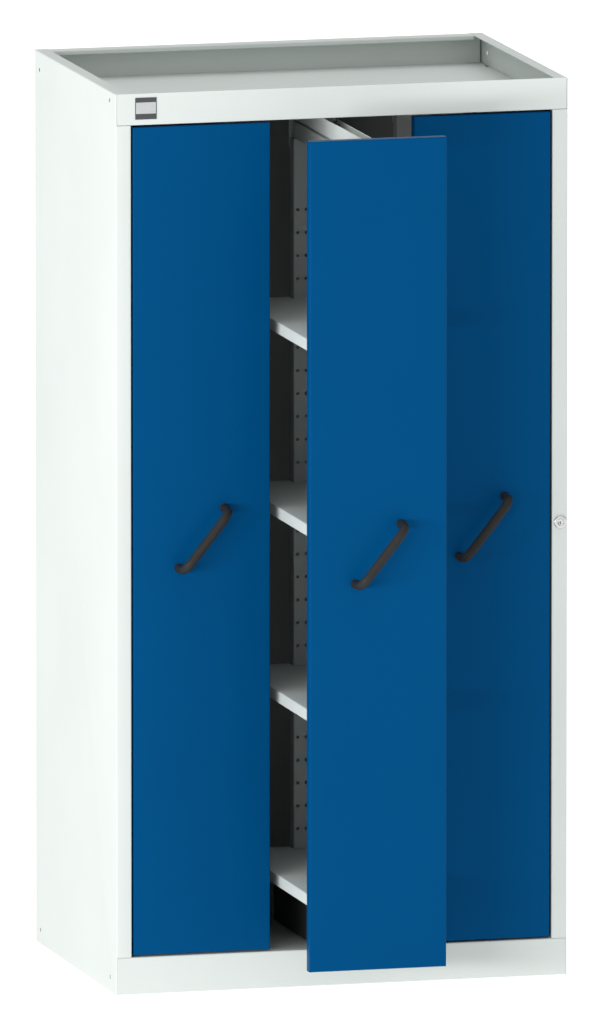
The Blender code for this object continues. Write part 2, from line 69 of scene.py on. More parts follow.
UNITS = ("left", "middle", "right")
SHELVES = 4
STILE = 0.034             # width of a side's front stile
JAMB = 0.020              # fold behind a stile
REAR_RETURN = 0.030       # fold of a side behind the back panel
RAIL_RETURN = 0.028       # inward flange of a rail
TOP_FLANGE = 0.028        # inward flange on top of a side
REAR_FLANGE = 0.036       # forward flange on top of the tray's rear wall
REAR_LIP = 0.009          # lip under the end of that flange
TRAY_FOLD_END = 0.620     # depth at which the tray's side folds end
TRAY_NOTCH_WIDE = 0.009   # relief notch behind such a fold, in from the side
TRAY_NOTCH_DEEP = 0.030   # and along it
CORNER_ROOM = 0.002       # gap between the tray's rear wall and its sides
SIDE_HOLE_R = 0.0045
SIDE_HOLES = ((0.052, 1.931), (0.658, 1.911), (0.053, 0.031), (0.660, 0.030))  # (y, z)

RIVET_R = 0.0032
RIVET_RISE = 0.0011
RIVET_ROWS = 7            # up each side
RIVET_COLUMNS = 6         # along each rail
RIVET_SPAN = 0.9          # part of the width between the side rows that a rail's rivets span
RIVET_END_ROOM = 0.060    # from the first rivet of a side row to the rail's edge
RIVET_RAIL_ROOM = 0.016   # from a rivet in a rail to the rail's edge

FRONT_LIP = 0.014         # inward lip behind a front's folds
FRONT_RELIEF = 0.0034     # opening in the corner of a front's folds
FRONT_SEAM = 0.0026       # how far the seam between two folds reaches in from the side
HOLE_PITCH = 0.050        # of the rear posts' perforation
HOLE_START = 0.0345       # height of the first hole
HOLE_END = 1.66           # the post is plain above this height
HOLE_SIDE = 0.0094        # column of holes to the post's middle
HOLE_R = 0.0037
HEAD_OVERLAP = 0.002      # how far a head plate stands out beside its post
HEAD_DROP = 0.022         # and how far it hangs below the post's top
BEAM_HEIGHT = 0.0351      # of the folded channel, without the strip on top
STRIP_HALF = 0.005        # half the width of the strip between beam and channel
LUG_THICK = 0.003         # lug on a carriage
LUG_TOP = 0.040           # above the carriage's lower edge

HANDLE_TILT = math.radians(51.4)
HANDLE_BEND = 0.026       # radius of the bar's middle line in a bend
HANDLE_WIDE = 0.0100      # half of the bar's section across and along its standoff
HANDLE_THICK = 0.0085
HANDLE_FOOT = 0.0090      # radius of a foot
HANDLE_FLARE = 0.0012     # how much a foot stands out from the bar
FLARE_START = 0.0015      # a foot starts to narrow this far off the front's skin
FLARE_END = 0.0050        # and has the bar's own section from here on

LOCK_BARREL_R = 0.0110
LOCK_BORE_R = 0.0073      # hole for the plug
LOCK_BORE_BEVEL = 0.0008
LOCK_RIM_ROUND = 0.0028
KEYHOLE_HALF_WIDE = 0.0009
KEYHOLE_HALF_TALL = 0.0032
KEYHOLE_DROP = 0.0012     # its middle below the plug's
KEYHOLE_DEEP = 0.008

LABEL_CORNER = 0.0010
LABEL_STEP = 0.00025      # thickness of the light field
LABEL_MARGIN = 0.0015
LABEL_LOW_BAND = 0.26     # heights of the dark bands, as parts of the plate's height
LABEL_HIGH_BAND = 0.22

# ---------------------------------------------------------------- camera
CAMERA_AZIMUTH = math.radians(-14.8)
CAMERA_ELEVATION = math.radians(9.14)
CAMERA_DISTANCE = 61.268
CAMERA_AIM = (0.0024, 0.35, 0.9737)  # in cabinet space
LENS_MM = 1000.0
SENSOR_MM = 36.0

# ---------------------------------------------------------------- light
# (sine of the height above the horizon, tone), from a white horizon over a dim band to the top
SKY_STOPS = ((0.0, 1.13), (0.10, 1.13), (0.22, 0.46), (0.50, 0.62), (1.0, 1.40))
SKY_SLOPE = 0.15          # how much brighter the sky is on the left
KEY_AZIMUTH = math.radians(-47)
KEY_DISTANCE = 8.0
KEY_HEIGHT = 1.15
KEY_SIZE = (5.5, 0.6)
KEY_POWER = 400.0
FLOOR_RADIUS = 400.0
FLOOR_DROP = 0.0005       # the floor lies this much below the cabinet's feet
FLOOR_GLOW = 0.91


# ---------------------------------------------------------------- mesh tools
def finish_mesh(bm, name):
    """Turn the faces outwards and keep the shape as a mesh."""
    bmesh.ops.recalc_face_normals(bm, faces=bm.faces)
    mesh = bpy.data.meshes.new(name)
    bm.to_mesh(mesh)
    bm.free()
    return mesh


def smooth(mesh):
    """Shade smooth, with sharp folds."""
    mesh.shade_smooth()
    mesh.set_sharp_from_angle(angle=SMOOTH_ANGLE)
    return mesh


def block(low, high):
    """A box between two corners."""
    bm = bmesh.new()
    size = [b - a for a, b in zip(low, high)]
    centre = [(a + b) / 2 for a, b in zip(low, high)]
    bmesh.ops.create_cube(bm, size=1.0)
    bmesh.ops.scale(bm, vec=size, verts=bm.verts)
    bmesh.ops.translate(bm, vec=centre, verts=bm.verts)
    return finish_mesh(bm, "block")


def to_space(point, along, axis):
    """A point of a section, (y, z), (x, z) or (x, y), at a place along the section's axis."""
    if axis == "x":
        return (along, point[0], point[1])
    if axis == "y":
        return (point[0], along, point[1])
    return (point[0], point[1], along)


def right_of(run):
    """The direction to the right of a run in a section."""
    return Vector((run.y, -run.x))


def bridge(bm, near, far):
    """A band of faces between two rings; a ring of one point closes the shape."""
    count = max(len(near), len(far))
    for i in range(count):
        j = (i + 1) % count
        if len(near) == 1:
            bm.faces.new((near[0], far[j], far[i]))
        elif len(far) == 1:
            bm.faces.new((near[i], near[j], far[0]))
        else:
            bm.faces.new((near[i], near[j], far[j], far[i]))


def bend_pairs(path):
    """Points on both faces of a sheet along a path, with an arc at each corner.

    The path is one face of the sheet, and the other face lies to its right.
    """
    points = [Vector(p) for p in path]
    runs = [(b - a).normalized() for a, b in zip(points, points[1:])]
    pairs = [(points[0], points[0] + right_of(runs[0]) * SHEET)]
    for before, after, corner in zip(runs, runs[1:], points[1:]):
        turn = 1 if before.x * after.y - before.y * after.x > 0 else -1
        near = BEND if turn < 0 else BEND - SHEET
        far = near + turn * SHEET
        angle = before.angle(after)
        start = corner - before * near * math.tan(angle / 2)
        centre = start - right_of(before) * near * turn
        spoke = (start - centre).normalized()
        for step in range(BEND_STEPS + 1):
            arm = Matrix.Rotation(turn * angle * step / BEND_STEPS, 2) @ spoke
            pairs.append((centre + arm * near, centre + arm * far))
    pairs.append((points[-1], points[-1] + right_of(runs[-1]) * SHEET))
    return pairs


def bent(path, axis, start, end):
    """A bent sheet of one section along an axis."""
    pairs = bend_pairs(path)
    bm = bmesh.new()
    rows = []
    for along in (start, end):
        rows.append([[bm.verts.new(to_space(p, along, axis)) for p in pair] for pair in pairs])
    first, last = rows
    for i in range(len(pairs) - 1):
        (a, b), (c, d) = first[i], first[i + 1]
        (e, f), (g, h) = last[i], last[i + 1]
        for face in ((a, c, d, b), (e, g, h, f), (a, c, g, e), (b, d, h, f)):
            bm.faces.new(face)
    for i in (0, -1):
        bm.faces.new((*first[i], *reversed(last[i])))
    return finish_mesh(bm, "bent")


def pan(low, high, path, axis):
    """A tray folded from one sheet: low and high are its rectangle, the path runs (inset, along)."""
    bm = bmesh.new()

    def ring(inset, along):
        a, b = low[0] + inset, high[0] - inset
        c, d = low[1] + inset, high[1] - inset
        corners = ((a, c), (b, c), (b, d), (a, d))
        return [bm.verts.new(to_space(corner, along, axis)) for corner in corners]

    rings = [(ring(*near), ring(*far)) for near, far in bend_pairs(path)]
    for (near, far), (next_near, next_far) in zip(rings, rings[1:]):
        bridge(bm, near, next_near)
        bridge(bm, far, next_far)
    skin, lip = (0, -1) if path[0][0] > path[-1][0] else (-1, 0)
    bridge(bm, *rings[lip])
    for face in rings[skin]:
        bm.faces.new(face)
    return finish_mesh(bm, "pan")


def turned(profile, centres, axis, facets=20):
    """Turn a profile of (radius, along) points round an axis, once at each centre.

    A profile that starts at a radius of 0 also ends there; any other one closes on itself.
    """
    bm = bmesh.new()
    for centre in centres:
        rings = []
        for radius, along in profile:
            ring = []
            for i in range(facets if radius > 0 else 1):
                angle = 2 * math.pi * i / facets
                spot = to_space((radius * math.cos(angle), radius * math.sin(angle)), along, axis)
                ring.append(bm.verts.new(Vector(spot) + Vector(centre)))
            rings.append(ring)
        for near, far in zip(rings, rings[1:]):
            bridge(bm, near, far)
        if profile[0][0] > 0:
            bridge(bm, rings[-1], rings[0])
    return smooth(finish_mesh(bm, "turned"))


def combine(mesh, tool, operation):
    """One Boolean step on two meshes."""
    body = bpy.data.objects.new("body", mesh)
    cutter = bpy.data.objects.new("cutter", tool)
    for obj in (body, cutter):
        bpy.context.scene.collection.objects.link(obj)
    modifier = body.modifiers.new("combine", "BOOLEAN")
    modifier.solver = "EXACT"
    modifier.operation = operation
    modifier.object = cutter
    depsgraph = bpy.context.evaluated_depsgraph_get()
    result = bpy.data.meshes.new_from_object(body.evaluated_get(depsgraph))
    for obj in (body, cutter):
        bpy.data.objects.remove(obj, do_unlink=True)
    return result


def cut(mesh, *tools):
    """The mesh without what the tools fill."""
    for tool in tools:
        mesh = combine(mesh, tool, "DIFFERENCE")
    return mesh


def join(mesh, *tools):
    """The mesh and the tools as one body."""
    for tool in tools:
        mesh = combine(mesh, tool, "UNION")
    return mesh


def mirrored(mesh):
    """The same mesh on the other side of x = 0."""
    bm = bmesh.new()
    bm.from_mesh(mesh)
    bmesh.ops.transform(bm, matrix=Matrix.Scale(-1, 4, (1, 0, 0)), verts=bm.verts)
    return finish_mesh(bm, "mirrored")


# ---------------------------------------------------------------- materials
class Finish:
    """A material under construction: nodes are added by type, and joined by name of socket."""

    def __init__(self, name, roughness, metallic=0.0, specular=0.5, ior=1.5):
        self.material = bpy.data.materials.new(name)
        self.material.use_nodes = True
        self.nodes = self.material.node_tree.nodes
        self.shader = self.nodes["Principled BSDF"]
        self.shader.inputs["Roughness"].default_value = roughness
        self.shader.inputs["Metallic"].default_value = metallic
        self.shader.inputs["Specular IOR Level"].default_value = specular
        self.shader.inputs["IOR"].default_value = ior
        self.place = self.nodes.new("ShaderNodeTexCoord").outputs["Object"]

    def link(self, source, target):
        self.material.node_tree.links.new(source, target)

    def noise(self, scale, detail=2.0, stretch=None):
        """Noise in the object's own metres, drawn out along an axis where stretch says so."""
        node = self.nodes.new("ShaderNodeTexNoise")
        node.inputs["Scale"].default_value = scale
        node.inputs["Detail"].default_value = detail
        place = self.place
        if stretch:
            mapping = self.nodes.new("ShaderNodeMapping")
            mapping.inputs["Scale"].default_value = stretch
            self.link(place, mapping.inputs["Vector"])
            place = mapping.outputs["Vector"]
        self.link(place, node.inputs["Vector"])
        return node.outputs["Fac"]

    def cells(self, scale):
        """Patches of one tone each, like crystals."""
        node = self.nodes.new("ShaderNodeTexVoronoi")
        node.inputs["Scale"].default_value = scale
        self.link(self.place, node.inputs["Vector"])
        return node.outputs["Color"]

    def colour(self, source, dark, light, low=0.35, high=0.65):
        """Blend from dark to light as the source rises from low to high."""
        ramp = self.nodes.new("ShaderNodeValToRGB")
        ends = ramp.color_ramp.elements
        ends[0].position, ends[1].position = low, high
        ends[0].color, ends[1].color = (*dark, 1.0), (*light, 1.0)
        self.link(source, ramp.inputs["Fac"])
        self.link(ramp.outputs["Color"], self.shader.inputs["Base Color"])

    def gloss(self, source, low, high):
        """Let the source spread the roughness between two values."""
        spread = self.nodes.new("ShaderNodeMapRange")
        spread.inputs["To Min"].default_value = low
        spread.inputs["To Max"].default_value = high
        self.link(source, spread.inputs["Value"])
        self.link(spread.outputs["Result"], self.shader.inputs["Roughness"])

    def relief(self, source, depth, strength):
        """Let the source raise the surface, by a depth in metres."""
        bump = self.nodes.new("ShaderNodeBump")
        bump.inputs["Distance"].default_value = depth
        bump.inputs["Strength"].default_value = strength
        self.link(source, bump.inputs["Height"])
        self.link(bump.outputs["Normal"], self.shader.inputs["Normal"])


def toned(colour, factor):
    """A colour made lighter or darker."""
    return tuple(channel * factor for channel in colour)


def powder_coat(name, colour, roughness, specular, ior):
    """Sprayed and baked powder: fine orange peel, with a slow drift of tone and gloss."""
    finish = Finish(name, roughness, specular=specular, ior=ior)
    drift = finish.noise(3.0, detail=3.0)
    finish.colour(drift, toned(colour, 0.985), toned(colour, 1.015))
    finish.gloss(drift, roughness - 0.03, roughness + 0.03)
    finish.relief(finish.noise(620.0), depth=0.00004, strength=0.6)
    return finish.material


def zinc_steel(name):
    """Galvanised strip: grey spangle in patches and faint roll marks along its length."""
    finish = Finish(name, 0.4, metallic=1.0)
    finish.colour(finish.cells(140.0), (0.42, 0.43, 0.44), (0.62, 0.63, 0.64), low=0.2, high=0.8)
    finish.gloss(finish.noise(60.0, detail=3.0), low=0.30, high=0.50)
    finish.relief(finish.noise(900.0, stretch=(1.0, 0.03, 1.0)), depth=0.00002, strength=0.5)
    return finish.material


def plated_steel(name):
    """Nickel plate over turned steel."""
    finish = Finish(name, 0.25, metallic=1.0)
    finish.colour(finish.noise(300.0), (0.60, 0.60, 0.60), (0.68, 0.68, 0.67))
    finish.gloss(finish.noise(500.0), low=0.26, high=0.40)
    finish.relief(finish.noise(2500.0, detail=1.0), depth=0.00001, strength=0.4)
    return finish.material


def moulded_plastic(name, colour, roughness, grain, specular):
    """Glass-filled nylon with the mould's fine grain; a higher grain number is finer."""
    finish = Finish(name, roughness, specular=specular)
    finish.colour(finish.noise(25.0, detail=3.0), toned(colour, 0.9), toned(colour, 1.1))
    finish.gloss(finish.noise(grain / 4), roughness - 0.05, roughness + 0.05)
    finish.relief(finish.noise(grain, detail=3.0), depth=0.00006, strength=0.7)
    return finish.material


def printed_plate(name, colour, roughness):
    """Anodised or printed metal foil, slightly brushed along its length."""
    finish = Finish(name, roughness, specular=0.4)
    brushed = (0.05, 1.0, 1.0)
    finish.colour(finish.noise(800.0, stretch=brushed), toned(colour, 0.93), toned(colour, 1.07))
    finish.relief(finish.noise(1500.0, stretch=brushed), depth=0.00001, strength=0.5)
    return finish.material


def make_materials():
    """Every finish, by its name."""
    paints = (            # name, colour, roughness, specular level, index of refraction
        ("carcass_paint", (0.595, 0.635, 0.615), 0.55, 0.05, 1.5),
        ("front_paint", (0.0, 0.058, 0.172), 0.30, 0.5, 1.08),
        # painted shade: a darker copy of the carcass paint, for faces inside the carcass where little light
        # reaches
        ("inner_paint", (0.22, 0.23, 0.225), 0.60, 0.05, 1.5),
        ("frame_paint", (0.57, 0.61, 0.59), 0.55, 0.05, 1.5),
        # painted shade: the frame's paint made darker for the rear posts deep in the cabinet
        ("post_paint", (0.40, 0.425, 0.41), 0.55, 0.05, 1.5),
        ("carriage_paint", (0.035, 0.038, 0.040), 0.55, 0.25, 1.5),
    )
    plastics = (          # name, colour, roughness, grain, specular level
        ("handle_plastic", (0.025, 0.025, 0.025), 0.40, 1400.0, 0.07),
        ("roller_plastic", (0.045, 0.045, 0.045), 0.45, 900.0, 0.35),
    )
    plates = (            # name, colour, roughness
        ("label", (0.050, 0.053, 0.055), 0.45),
        ("label_field", (0.44, 0.45, 0.45), 0.40),
    )
    materials = {name: powder_coat(name, *look) for name, *look in paints}
    materials["zinc_steel"] = zinc_steel("zinc_steel")
    materials["lock_steel"] = plated_steel("lock_steel")
    materials.update({name: moulded_plastic(name, *look) for name, *look in plastics})
    materials.update({name: printed_plate(name, *look) for name, *look in plates})
    return materials


# ---------------------------------------------------------------- pieces
def add_piece(name, mesh, material, body, replaced=(), location=(0, 0, 0)):
    """Put a new mesh in place, riding on a body of the frame."""
    piece = bpy.data.objects.new(name, mesh)
    bpy.context.scene.collection.objects.link(piece)
    piece.location = location
    mesh.materials.clear()
    mesh.materials.append(material)
    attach(piece, body)
    if replaced:
        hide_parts(*replaced)
    return piece


def dress_node(node, material):
    """Give a mesh of the frame its finish and a small rounding of its edges."""
    node.data.materials.clear()
    node.data.materials.append(material)
    smooth(node.data)
    bevel = node.modifiers.new("edges", "BEVEL")
    bevel.width = EDGE
    bevel.segments = 2
    bevel.limit_method = "ANGLE"
    bevel.angle_limit = SMOOTH_ANGLE


def paint_shade_on_faces(mesh, material, low, high, facing):
    """Paint shade on the faces in a box that look one way, with a second, darker material; a limit of None
    is open.

    The mesh is first split at the box's top, so that the painted shade ends there.
    """
    if high[2] is not None:
        bm = bmesh.new()
        bm.from_mesh(mesh)
        bmesh.ops.bisect_plane(bm, geom=bm.verts[:] + bm.edges[:] + bm.faces[:],
                               plane_co=(0, 0, high[2]), plane_no=(0, 0, 1))
        bm.to_mesh(mesh)
        bm.free()
    if mesh.materials[-1] != material:
        mesh.materials.append(material)
    last = len(mesh.materials) - 1
    for face in mesh.polygons:
        inside = all((a is None or c >= a) and (b is None or c <= b)
                     for c, a, b in zip(face.center, low, high))
        if inside and face.normal.dot(Vector(facing)) > FACING:
            face.material_index = last


class Cabinet:
    """The frame's main places, read from its nodes."""

    def __init__(self):
        low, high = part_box("left_side_panel")
        self.front_y = low.y      # plane of the stiles and the closed fronts
        self.left = low.x
        self.depth = high.y - low.y
        self.height = high.z
        low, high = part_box("top_front_rail")
        self.rail_low = low.z     # lower edge of both top rails
        self.inner = high.x       # half the length of the front rails
        self.plinth_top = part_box("bottom_front_rail")[1].z
        self.rear_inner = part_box("rear_top_rail")[1].x    # half the length of the rear rails

    def spot(self, x, y, z):
        """A place in cabinet space, put into the frame's own space."""
        return Vector((x, y + self.front_y, z))


def side_sheet(cabinet):
    """Left side, bent round into the front stile and the rear return, with the tray's top flange.

    A small relief opens the corner where the flange meets the stile, and the holes flare inwards.
    """
    side, inside = cabinet.left, cabinet.left + SHEET
    path = ((side + STILE, JAMB), (side + STILE, 0), (side, 0),
            (side, cabinet.depth), (side + REAR_RETURN, cabinet.depth))
    mesh = bent(path, "z", 0, cabinet.height)
    beyond, behind, above = side + 2 * STILE, cabinet.depth + STILE, cabinet.height + STILE
    mesh = cut(mesh,
               block((inside, -STILE, -STILE), (beyond, behind, cabinet.plinth_top + GAP)),
               block((inside, -STILE, cabinet.rail_low - GAP), (beyond, cabinet.depth / 2, above)))
    top = cabinet.height - SHEET
    start, end = SHEET + GAP, cabinet.depth - SHEET
    flange = bent(((side, top - BEND), (side, cabinet.height), (side + TOP_FLANGE, cabinet.height)), "y",
                  start, end)
    corner = block((side - SHEET, start, top - BEND / 2), (inside, end, cabinet.height + SHEET))
    mesh = join(cut(mesh, corner), flange)
    relief_wide, relief_deep = 0.0035, 0.004
    relief = block((side - SHEET, SHEET, top - GAP),
                   (side + relief_wide, SHEET + relief_deep, cabinet.height + SHEET))
    mesh = cut(mesh, relief)
    flared = SIDE_HOLE_R + SHEET
    drill = ((0, side - STILE), (SIDE_HOLE_R, side - STILE), (SIDE_HOLE_R, side), (flared, inside),
             (flared, side + STILE), (0, side + STILE))
    return cut(mesh, turned(drill, [(0, y, z) for y, z in SIDE_HOLES], "x", 24))


def rear_top_rail(cabinet):
    """Rear wall of the tray, bent forward into a flange that ends between the side panels' flanges."""
    flange, height, wall = cabinet.depth - REAR_FLANGE, cabinet.height, cabinet.depth - SHEET - GAP
    path = ((flange, height - REAR_LIP), (flange, height), (wall, height), (wall, cabinet.rail_low),
            (wall - RAIL_RETURN, cabinet.rail_low))
    half = cabinet.rear_inner - CORNER_ROOM
    mesh = bent(path, "x", -half, half)
    near, far = -cabinet.left - TOP_FLANGE - GAP, STILE - cabinet.left
    for side in (-1, 1):
        across = sorted((side * near, side * far))
        lip = block((across[0], flange - STILE, height - REAR_LIP - SHEET),
                    (across[1], wall - SHEET - BEND, height + SHEET))
        edge = block((across[0], flange, height - SHEET - BEND), (across[1], cabinet.depth, height + SHEET))
        mesh = cut(mesh, lip, edge)
    return mesh


def tray(cabinet):
    """Floor of the tray on top, turned down at both sides, with a relief notch behind each fold."""
    low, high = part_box("top_panel")
    half, under = high.x, high.z - SHEET - GAP / 2
    path = ((-half, low.z), (-half, high.z), (half, high.z), (half, low.z))
    back = high.y - cabinet.front_y
    mesh = bent(path, "y", low.y - cabinet.front_y, back)
    mesh = cut(mesh,
               block((-2 * half, 0, low.z - BEND), (2 * half, RAIL_RETURN + GAP, under)),
               block((-2 * half, TRAY_FOLD_END, low.z - BEND), (2 * half, 2 * back, under)))
    for side in (-1, 1):
        across = sorted((side * (half - TRAY_NOTCH_WIDE), side * (half + TRAY_NOTCH_WIDE)))
        mesh = cut(mesh, block((across[0], TRAY_FOLD_END, low.z - BEND),
                               (across[1], TRAY_FOLD_END + TRAY_NOTCH_DEEP, high.z + BEND)))
    return mesh


def add_carcass(cabinet, materials):
    """Folded sheets of the carcass, with painted shade on their faces inside it and in the tray's rear
    corners.
    """
    paint = materials["carcass_paint"]
    height, inner = cabinet.height, cabinet.inner
    rail_low, rear = cabinet.rail_low, cabinet.rear_inner
    at_front = cabinet.spot(0, 0, 0)

    def add(name, mesh, *nodes):
        return add_piece(name, smooth(mesh), paint, "cabinet", nodes, at_front)

    left = side_sheet(cabinet)
    lock_low, lock_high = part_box("lock_housing")
    lock_x, lock_z = (lock_low.x + lock_high.x) / 2, (lock_low.z + lock_high.z) / 2
    room = LOCK_BARREL_R + GAP
    lock_hole = turned(((0, -STILE), (room, -STILE), (room, SHEET * 2), (0, SHEET * 2)),
                       [(lock_x, 0, lock_z)], "y", 32)
    sides = {"left": left, "right": cut(mirrored(left), lock_hole)}
    for side, turn in (("left", 1), ("right", -1)):
        piece = add(f"side_sheet_{side}", sides[side], f"{side}_side_panel")
        # painted shade on the inner faces of the sides and on the tray's rear corners
        paint_shade_on_faces(piece.data, materials["inner_paint"], (None, SHEET, None),
                    (None, cabinet.depth - SHEET, rail_low), (turn, 0, 0))
        paint_shade_on_faces(piece.data, materials["inner_paint"], (None, cabinet.depth / 2, rail_low),
                    (None, None, None), (0, -1, 0))
    rail = inner - SEAM
    add("top_rail_sheet", bent(((RAIL_RETURN, rail_low), (0, rail_low), (0, height)), "x", -rail, rail),
        "top_front_rail")
    plinth = ((RAIL_RETURN, 0), (0, 0), (0, cabinet.plinth_top), (RAIL_RETURN, cabinet.plinth_top))
    add("plinth_sheet", bent(plinth, "x", -inner, inner), "bottom_front_rail")
    add("rear_top_sheet", rear_top_rail(cabinet), "rear_top_rail")
    rail_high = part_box("rear_bottom_rail")[1]
    back, top = rail_high.y - cabinet.front_y, rail_high.z
    rear_low = ((back - RAIL_RETURN, top), (back, top), (back, 0), (back - RAIL_RETURN, 0))
    add("rear_low_sheet", bent(rear_low, "x", -rear, rear), "rear_bottom_rail")
    add("tray_sheet", tray(cabinet), "top_panel")


def rivet_heads(centres):
    """Domed heads on a face that looks to the rear."""
    steps = 4
    profile = [(0, 0), (RIVET_R, 0)]
    for step in range(1, steps + 1):
        angle = math.pi / 2 * step / steps
        radius = RIVET_R * math.cos(angle) if step < steps else 0
        profile.append((radius, RIVET_RISE * math.sin(angle)))
    return turned(profile, centres, "y")


def add_rivets(cabinet, materials):
    """Blind rivets that hold the back to the side returns and the rear rails."""
    back = cabinet.depth
    side = -cabinet.left - REAR_RETURN / 2
    low, high = cabinet.plinth_top + RIVET_END_ROOM, cabinet.rail_low - RIVET_END_ROOM
    centres = []
    for row in range(RIVET_ROWS):
        z = low + (high - low) * row / (RIVET_ROWS - 1)
        centres += [(-side, back, z), (side, back, z)]
    for column in range(RIVET_COLUMNS):
        x = side * RIVET_SPAN * (2 * column / (RIVET_COLUMNS - 1) - 1)
        centres += [(x, back, cabinet.rail_low + RIVET_RAIL_ROOM),
                    (x, back, cabinet.plinth_top - RIVET_RAIL_ROOM)]
    add_piece("back_rivets", rivet_heads(centres), materials["zinc_steel"], "cabinet",
              location=cabinet.spot(0, GAP / 3, 0))


def front_pan(unit):
    """Front of a pull-out: one sheet folded on all four sides, relieved at its corners."""
    low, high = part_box(f"front_panel_{unit}")
    half, fold = (high.x - low.x) / 2, high.y - low.y
    path = ((half / 2, 0), (0, 0), (0, fold), (FRONT_LIP, fold))
    mesh = pan((-half, low.z), (half, high.z), path, "y")
    relief, outside = FRONT_RELIEF, half + SHEET
    tools = []
    for side in (-1, 1):
        for edge, inwards in ((high.z, -1), (low.z, 1)):
            across = sorted((side * outside, side * (half - relief)))
            up = sorted((edge - inwards * SHEET, edge + inwards * relief))
            tools.append(block((across[0], SHEET, up[0]), (across[1], SHEET + relief, up[1])))
            across = sorted((side * outside, side * (half - FRONT_SEAM)))
            up = sorted((edge + inwards * SHEET, edge + inwards * (SHEET + SEAM)))
            tools.append(block((across[0], SHEET + relief / 2, up[0]), (across[1], fold - SHEET, up[1])))
    return cut(mesh, *tools)


def handle_line(half_span, out):
    """Middle line of a handle's bar from foot to foot, as (along, off the skin, share of flare)."""
    line = [(half_span, GAP, 1), (half_span, FLARE_START, 1), (half_span, FLARE_END, 0)]
    corner, reach, steps = half_span - HANDLE_BEND, out - HANDLE_BEND, 10
    for step in range(steps + 1):
        angle = math.pi / 2 * step / steps
        line.append((corner + HANDLE_BEND * math.cos(angle), reach + HANDLE_BEND * math.sin(angle), 0))
    return line + [(-along, off, flare) for along, off, flare in reversed(line)]


def handle_bar(unit):
    """Bow handle: an oval bar swept out of one foot, round a bend, along and back to the other."""
    low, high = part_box(f"handle_{unit}")
    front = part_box(f"front_panel_{unit}")[0]
    middle = Vector((0, 0, (low.z + high.z) / 2))
    half_span = ((high.z - low.z) / 2 - HANDLE_FOOT) / math.sin(HANDLE_TILT)
    line = handle_line(half_span, front.y - low.y - HANDLE_THICK)
    along_axis = Vector((math.cos(HANDLE_TILT), 0, math.sin(HANDLE_TILT)))
    out_axis = Vector((0, -1, 0))
    across_axis = along_axis.cross(out_axis)
    facets = 28
    bm = bmesh.new()
    rings = []
    for i, (along, off, share) in enumerate(line):
        before, after = line[max(i - 1, 0)], line[min(i + 1, len(line) - 1)]
        tangent = Vector((after[0] - before[0], after[1] - before[1])).normalized()
        normal = along_axis * -tangent.y + out_axis * tangent.x
        centre = along_axis * along + out_axis * off + middle
        flare = share * HANDLE_FLARE
        ring = []
        for facet in range(facets):
            angle = 2 * math.pi * facet / facets
            side = across_axis * math.cos(angle) * (HANDLE_WIDE + flare)
            rise = normal * math.sin(angle) * (HANDLE_THICK + flare)
            ring.append(bm.verts.new(centre + side + rise))
        rings.append(ring)
    for near, far in zip(rings, rings[1:]):
        bridge(bm, near, far)
    for end in (rings[0], rings[-1]):
        bm.faces.new(end)
    return smooth(finish_mesh(bm, "handle"))


def post(origin, node):
    """Upright channel that opens to the rear."""
    low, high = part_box(node)
    half, face, back = (high.x - low.x) / 2, low.y - origin.y, high.y - origin.y
    return bent(((half, back), (half, face), (-half, face), (-half, back)), "z", low.z, high.z)


def rear_post(origin, unit):
    """Channel with two columns of holes for the shelves' hooks."""
    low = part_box(f"rear_post_{unit}")[0]
    face = low.y - origin.y
    centres = []
    z = HOLE_START
    while z < HOLE_END:
        if z > low.z + HOLE_R * 2:
            centres += [(-HOLE_SIDE, face, z), (HOLE_SIDE, face, z)]
        z += HOLE_PITCH
    drill = ((0, -2 * SHEET), (HOLE_R, -2 * SHEET), (HOLE_R, 2 * SHEET), (0, 2 * SHEET))
    return cut(post(origin, f"rear_post_{unit}"), turned(drill, centres, "y", 16))


def post_head(origin, unit):
    """Plate behind the rear end of the beam and the channel, upright above the rear post."""
    post_low, post_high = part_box(f"rear_post_{unit}")
    half = (post_high.x - post_low.x) / 2 + HEAD_OVERLAP
    channel_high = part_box(f"guide_channel_{unit}")[1]
    back = channel_high.y - origin.y + GAP
    return block((-half, back, post_high.z - HEAD_DROP), (half, back + SHEET, channel_high.z))


def shelf(origin, unit, number):
    """Tray turned upside down, with a notch for the rear post."""
    low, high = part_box(f"shelf_{number}_{unit}")
    half = (high.x - low.x) / 2
    front, back, fold = low.y - origin.y, high.y - origin.y, high.z - low.z
    mesh = pan((-half, front), (half, back), ((0, low.z), (0, high.z), (half / 2, high.z)), "z")
    post_low, post_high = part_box(f"rear_post_{unit}")
    room = (post_high.x - post_low.x) / 2 + 2 * GAP
    notch = block((-room, post_low.y - origin.y - GAP, low.z - fold), (room, back + fold, high.z + fold))
    return cut(mesh, notch)


def carriage(origin, unit):
    """Cover profile over the runner, with the lug that the lock's tab catches."""
    low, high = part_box(f"lower_carriage_{unit}")
    half, lug_right = origin.x - low.x, high.x - origin.x
    front, back = low.y - origin.y, high.y - origin.y
    path = ((-half, low.z), (-half, high.z), (half, high.z), (half, low.z))
    lug = block((half - SHEET / 2, front + GAP, low.z + SHEET),
                (lug_right, front + GAP + LUG_THICK, low.z + LUG_TOP))
    return join(bent(path, "y", front, back), lug)


def beam(origin, unit):
    """Channel that opens downwards, with a strip on top that carries the guide channel."""
    low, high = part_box(f"upper_beam_{unit}")
    half, top = (high.x - low.x) / 2, low.z + BEAM_HEIGHT
    start, end = low.y - origin.y, high.y - origin.y
    path = ((-half, low.z), (-half, top), (half, top), (half, low.z))
    strip = block((-STRIP_HALF, start, top - SHEET / 2),
                  (STRIP_HALF, end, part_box(f"guide_channel_{unit}")[0].z - GAP))
    return join(bent(path, "y", start, end), strip)


